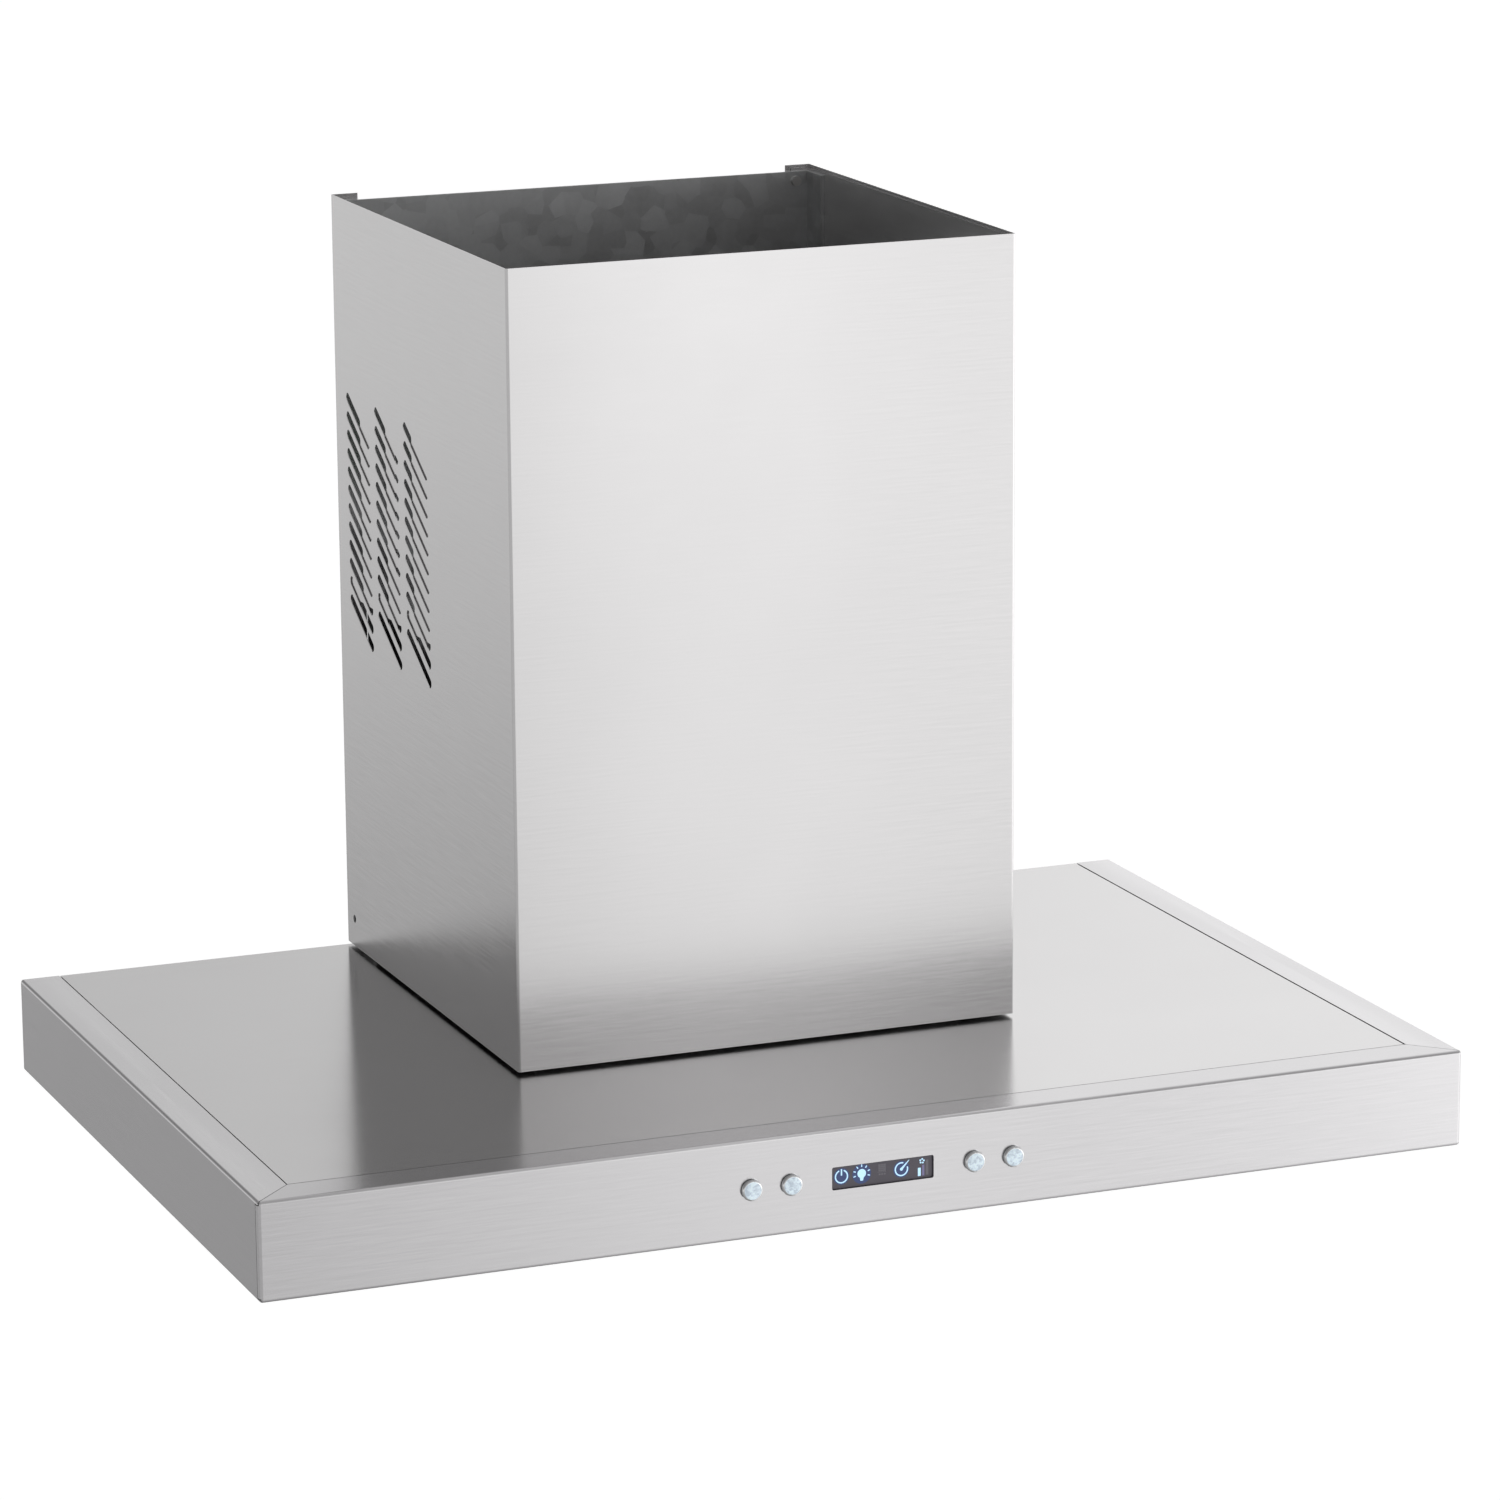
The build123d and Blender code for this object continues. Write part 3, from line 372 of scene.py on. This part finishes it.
def dress_nodes():
    """Gives every CAD node its own finish, or else the finish of its material slot."""
    slot_of = {part["node"]: part["material_slot"] for part in frame["record"]["subparts"]}
    for node, obj in frame["nodes"].items():
        if not obj.material_slots:
            obj.data.materials.append(None)
        for slot in obj.material_slots:
            slot.material = OWN_MATERIALS.get(node) or MATERIALS[slot_of[node]]


# ---------------------------------------------------------------- meshes
def finish_piece(name, bm, body, material):
    """Turns a bmesh into a named piece that rides on a body."""
    bmesh.ops.recalc_face_normals(bm, faces=bm.faces)
    mesh = bpy.data.meshes.new(name)
    bm.to_mesh(mesh)
    bm.free()
    piece = bpy.data.objects.new(name, mesh)
    bpy.context.scene.collection.objects.link(piece)
    mesh.materials.append(material)
    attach(piece, body)


def raise_outline(bm, outline, y, thickness):
    """A thin upright slab: an outline in x and z, standing out from y towards the cook."""
    back = [bm.verts.new((px, y, pz)) for px, pz in outline]
    front = [bm.verts.new((px, y - thickness, pz)) for px, pz in outline]
    bm.faces.new(front)
    bm.faces.new(back[::-1])
    for i in range(len(outline)):
        j = (i + 1) % len(outline)
        bm.faces.new((back[i], back[j], front[j], front[i]))


# ---------------------------------------------------------------- display
# Outlines on the display are in millimetres: u right of its left edge, v above its middle.
SEGMENT_THICKNESS = 0.06 * MM
HALO_THICKNESS = 0.03 * MM


def polar(u, v, radius, angle):
    """The point at this distance and direction, in degrees counted from +u."""
    turn = math.radians(angle)
    return u + radius * math.cos(turn), v + radius * math.sin(turn)


def arc(u, v, radius, start, end, steps=40):
    return [polar(u, v, radius, start + (end - start) * i / steps) for i in range(steps + 1)]


def disc(u, v, radius, corners=60):
    return [polar(u, v, radius, 360 * i / corners) for i in range(corners)]


def ring(u, v, inner, outer, start, end):
    """A stretch of a ring."""
    return arc(u, v, outer, start, end) + arc(u, v, inner, end, start)


def bar(u, v, length, width, angle, tip=1.0):
    """A bar from a point outwards; tip is its far width against its near width."""
    cosine, sine = math.cos(math.radians(angle)), math.sin(math.radians(angle))
    near, far = width / 2, width / 2 * tip
    corners = [(0, -near), (length, -far), (length, far), (0, near)]
    return [(u + a * cosine - b * sine, v + a * sine + b * cosine) for a, b in corners]


def block(u, v, width, height):
    """A rectangle from its lower left corner."""
    return [(u, v), (u + width, v), (u + width, v + height), (u, v + height)]


def power_symbol(icons, u, v):
    icons["bright"] += [
        ring(u, v, inner=3.4, outer=4.2, start=112, end=428),
        bar(u, v + 0.6, length=3.9, width=0.85, angle=90),
    ]
    icons["halo"].append(disc(u, v, 5.0))


def lamp_symbol(icons, u, v):
    glass = arc(u, v, 2.7, start=-62, end=242, steps=36)
    icons["bright"].append(glass + [(u - 0.8, v - 4.4), (u + 0.8, v - 4.4)])
    for angle in range(-18, 199, 36):
        start = polar(u, v, 4.0, angle)
        icons["bright"].append(bar(*start, length=1.5, width=0.75, angle=angle, tip=0.7))
    icons["halo"].append(disc(u, v - 0.3, 5.9))


def clock_symbol(icons, u, v):
    icons["bright"] += [
        ring(u, v, inner=3.5, outer=4.3, start=72, end=378),
        bar(u - 0.4, v - 0.4, length=7.6, width=1.5, angle=46, tip=0.25),
        disc(u, v, 0.95, corners=24),
    ]
    icons["halo"].append(disc(u, v, 5.1))


def fan_symbol(icons, u, v):
    for angle in range(10, 370, 72):
        icons["bright"].append(disc(*polar(u, v, 1.2, angle), 0.55, corners=18))


def level_bars(icons, u, v):
    icons["bright"].append(block(u, v, width=1.8, height=5.0))
    icons["dim"].append(block(u + 2.7, v, width=1.4, height=6.6))
    icons["faint"].append(block(u + 5.0, v + 0.2, width=1.6, height=9.2))


def unlit_segments(icons, u, v):
    """A square of dots over a line and three more dots."""
    for row in range(4):
        for column in range(4):
            icons["faint"].append(block(u + 0.6 + 1.2 * column, v + 0.6 + 1.15 * row, 1.0, 0.95))
    icons["faint"].append(block(u, v, width=5.4, height=0.25))
    for column in range(3):
        icons["faint"].append(block(u + 0.8 + 1.6 * column, v - 1.6, width=1.1, height=0.9))


LIGHTS = {
    "bright": {"colour": (0.5, 0.78, 1.0), "strength": 1.25},
    "halo": {"colour": (0.06, 0.11, 0.32), "strength": 0.5},
    "dim": {"colour": (0.3, 0.27, 0.5), "strength": 0.6},
    "faint": {"colour": (0.2, 0.19, 0.21), "strength": 0.6},
}


def build_display():
    """Raises the display's symbols from its window, as one piece for each light."""
    icons = {light: [] for light in LIGHTS}
    power_symbol(icons, 6.5, 0.4)
    lamp_symbol(icons, 19.3, 0.7)
    clock_symbol(icons, 44.5, 0.2)
    fan_symbol(icons, 57.6, 3.6)
    level_bars(icons, 55.0, -5.4)
    unlit_segments(icons, 29.3, -0.1)

    low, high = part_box("display_window")
    middle = (low.z + high.z) / 2
    for light, settings in LIGHTS.items():
        thickness = HALO_THICKNESS if light == "halo" else SEGMENT_THICKNESS
        name = "icons_" + light
        bm = bmesh.new()
        for outline in icons[light]:
            placed = [(low.x + u * MM, middle + v * MM) for u, v in outline]
            raise_outline(bm, placed, low.y, thickness)
        finish_piece(name, bm, "hood", lit_segments(name, **settings))


# ---------------------------------------------------------------- lights
# Radiance of the studio by height, where 0 is straight down, 0.5 level and 1 straight up.
COOK_HEIGHT = [
    (0.0, 0.6), (0.3, 1.0), (0.362, 1.05), (0.388, 1.5), (0.45, 1.58), (0.56, 1.3),
    (0.64, 0.88), (1.0, 0.85),
]
LEFT_HEIGHT = [
    (0.0, 0.3), (0.3, 0.38), (0.35, 0.43), (0.365, 0.42), (0.4, 0.76), (0.47, 0.86),
    (0.56, 0.48), (0.64, 0.22), (1.0, 0.45),
]
RIGHT_HEIGHT = [(0.0, 0.3), (0.3, 0.5), (0.42, 0.9), (0.5, 1.0), (0.66, 1.0), (1.0, 0.8)]
# How it changes from the left (0) to the right (1), on the cook's side and on the wall's.
COOK_ACROSS = [
    (0.0, 0.5), (0.45, 0.5), (0.62, 0.56), (0.66, 0.77), (0.679, 1.12), (0.697, 0.86),
    (0.712, 0.87), (0.74, 1.35), (1.0, 1.3),
]
COOK_ACROSS_HIGH = [
    (0.0, 0.3), (0.65, 0.52), (0.664, 0.66), (0.68, 1.5), (0.695, 0.42), (0.72, 0.45),
    (1.0, 0.9),
]
WALL_ACROSS = [
    (0.5, 0.6), (0.625, 0.74), (0.645, 0.78), (0.7, 1.13), (0.8, 1.25), (1.0, 1.4),
]
# Where one gives way to the next: low to high, left to right by the wall, and cook to wall.
HIGH_FADE = [(0.5, 0.0), (0.6, 1.0)]
RIGHT_FADE = [(0.44, 0.0), (0.58, 1.0)]
WALL_FADE = [(0.3, 0.0), (0.7, 1.0)]
RAMP_TOP = 2.0  # a ramp holds values up to 1, so its values are stored as a share of this


def build_world():
    """A soft studio: brighter to the right and level, darker low down and on the wall's left."""
    world = bpy.data.worlds.new("studio")
    bpy.context.scene.world = world
    world.use_nodes = True
    sky = Tree(world.node_tree, "Generated")

    def ramp(factor, stops):
        node = sky.node("ShaderNodeValToRGB", {0: factor})
        elements = node.color_ramp.elements
        while len(elements) < len(stops):
            elements.new(0.5)
        for element, (position, value) in zip(elements, stops):
            share = value / RAMP_TOP
            element.position = position
            element.color = (share, share, share, 1.0)
        return sky.math("MULTIPLY", node.outputs[0], RAMP_TOP)

    def halved(axis):
        """Turns a direction's -1..1 along an axis into 0..1."""
        return sky.math("ADD", sky.math("MULTIPLY", axis, 0.5), 0.5)

    right, back, height = (halved(axis) for axis in sky.split(sky.coords))
    high = ramp(height, HIGH_FADE)
    cook_across = sky.mixed(high, ramp(right, COOK_ACROSS), ramp(right, COOK_ACROSS_HIGH))
    cook = sky.math("MULTIPLY", ramp(height, COOK_HEIGHT), cook_across)
    wall_right = sky.math("MULTIPLY", ramp(height, RIGHT_HEIGHT), ramp(right, WALL_ACROSS))
    wall = sky.mixed(ramp(right, RIGHT_FADE), ramp(height, LEFT_HEIGHT), wall_right)
    background = world.node_tree.nodes["Background"]
    sky.feed(background.inputs["Strength"], sky.mixed(ramp(back, WALL_FADE), cook, wall))
    sky.feed(background.inputs["Color"], (1.0, 1.0, 1.0, 1.0))


def build_floor():
    """A pale floor that glows a little and is not seen in reflections."""
    mesh = bpy.data.meshes.new("floor")
    half = FLOOR_SIZE / 2
    corners = [(-half, -half, 0), (half, -half, 0), (half, half, 0), (-half, half, 0)]
    mesh.from_pydata(corners, [], [(0, 1, 2, 3)])
    floor = bpy.data.objects.new("floor", mesh)
    bpy.context.scene.collection.objects.link(floor)
    floor.location.z = FLOOR_Z
    g = Finish("floor_paint")
    g.set(
        Base_Color=g.blend(g.noise(scale=2.0), grey(0.95), grey(0.97)),
        Roughness=0.9,
        Emission_Color=grey(1.0),
        Emission_Strength=FLOOR_GLOW,
    )
    mesh.materials.append(g.material)
    floor.visible_glossy = False


def build_camera():
    data = bpy.data.cameras.new("camera")
    data.lens = CAMERA_LENS
    data.sensor_width = CAMERA_SENSOR
    data.clip_end = CAMERA_REACH
    camera = bpy.data.objects.new("camera", data)
    bpy.context.scene.collection.objects.link(camera)
    camera.matrix_world = (
        Matrix.Translation(CAMERA_AT)
        @ Matrix.Rotation(CAMERA_YAW, 4, "Z")
        @ Matrix.Rotation(math.pi / 2 - CAMERA_PITCH, 4, "X")
        @ Matrix.Rotation(CAMERA_ROLL, 4, "Z")
    )
    bpy.context.scene.camera = camera


dress_nodes()
build_display()
build_world()
build_floor()
build_camera()
bpy.context.scene.view_settings.view_transform = "Standard"
